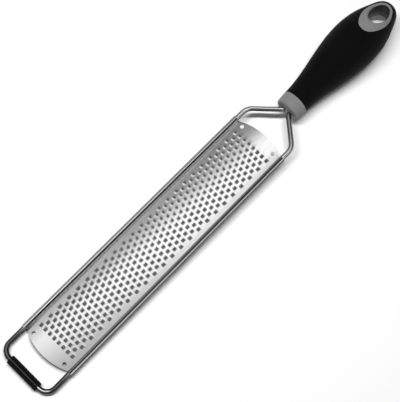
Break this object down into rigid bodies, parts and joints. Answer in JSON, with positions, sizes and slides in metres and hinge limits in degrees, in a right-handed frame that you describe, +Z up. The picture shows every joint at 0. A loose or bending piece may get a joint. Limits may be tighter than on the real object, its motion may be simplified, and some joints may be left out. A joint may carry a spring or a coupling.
{
  "type": "rasp zester",
  "caption": "Long rasp zester: crowned, perforated steel sheet rolled round a bent rod frame, with a slit rubber foot and a full two-shot handle that ends in a hang ring.",
  "frame": {"origin": "middle of the part's bounding box in plan, on the worktop that it rests on", "axes": "+X from the toe bar towards the handle's end, +Y across the tool, +Z up out of the grating face, in the attitude in which the tool rests on its foot and on the belly of its handle"},
  "size_m": [0.348, 0.045, 0.0312],
  "materials": {
    "rod_steel": "bright drawn stainless steel",
    "sheet_steel": "brushed stainless steel",
    "foot_rubber": "matt black rubber",
    "core_plastic": "mid grey satin plastic",
    "grip_rubber": "matt black soft-touch overmould"
  },
  "bodies": {
    "root": {"frame_rod": "rod_steel", "rasp_sheet": "sheet_steel", "rubber_foot": "foot_rubber", "handle_core": "core_plastic", "soft_grip": "grip_rubber"}
  },
  "joints": []
}
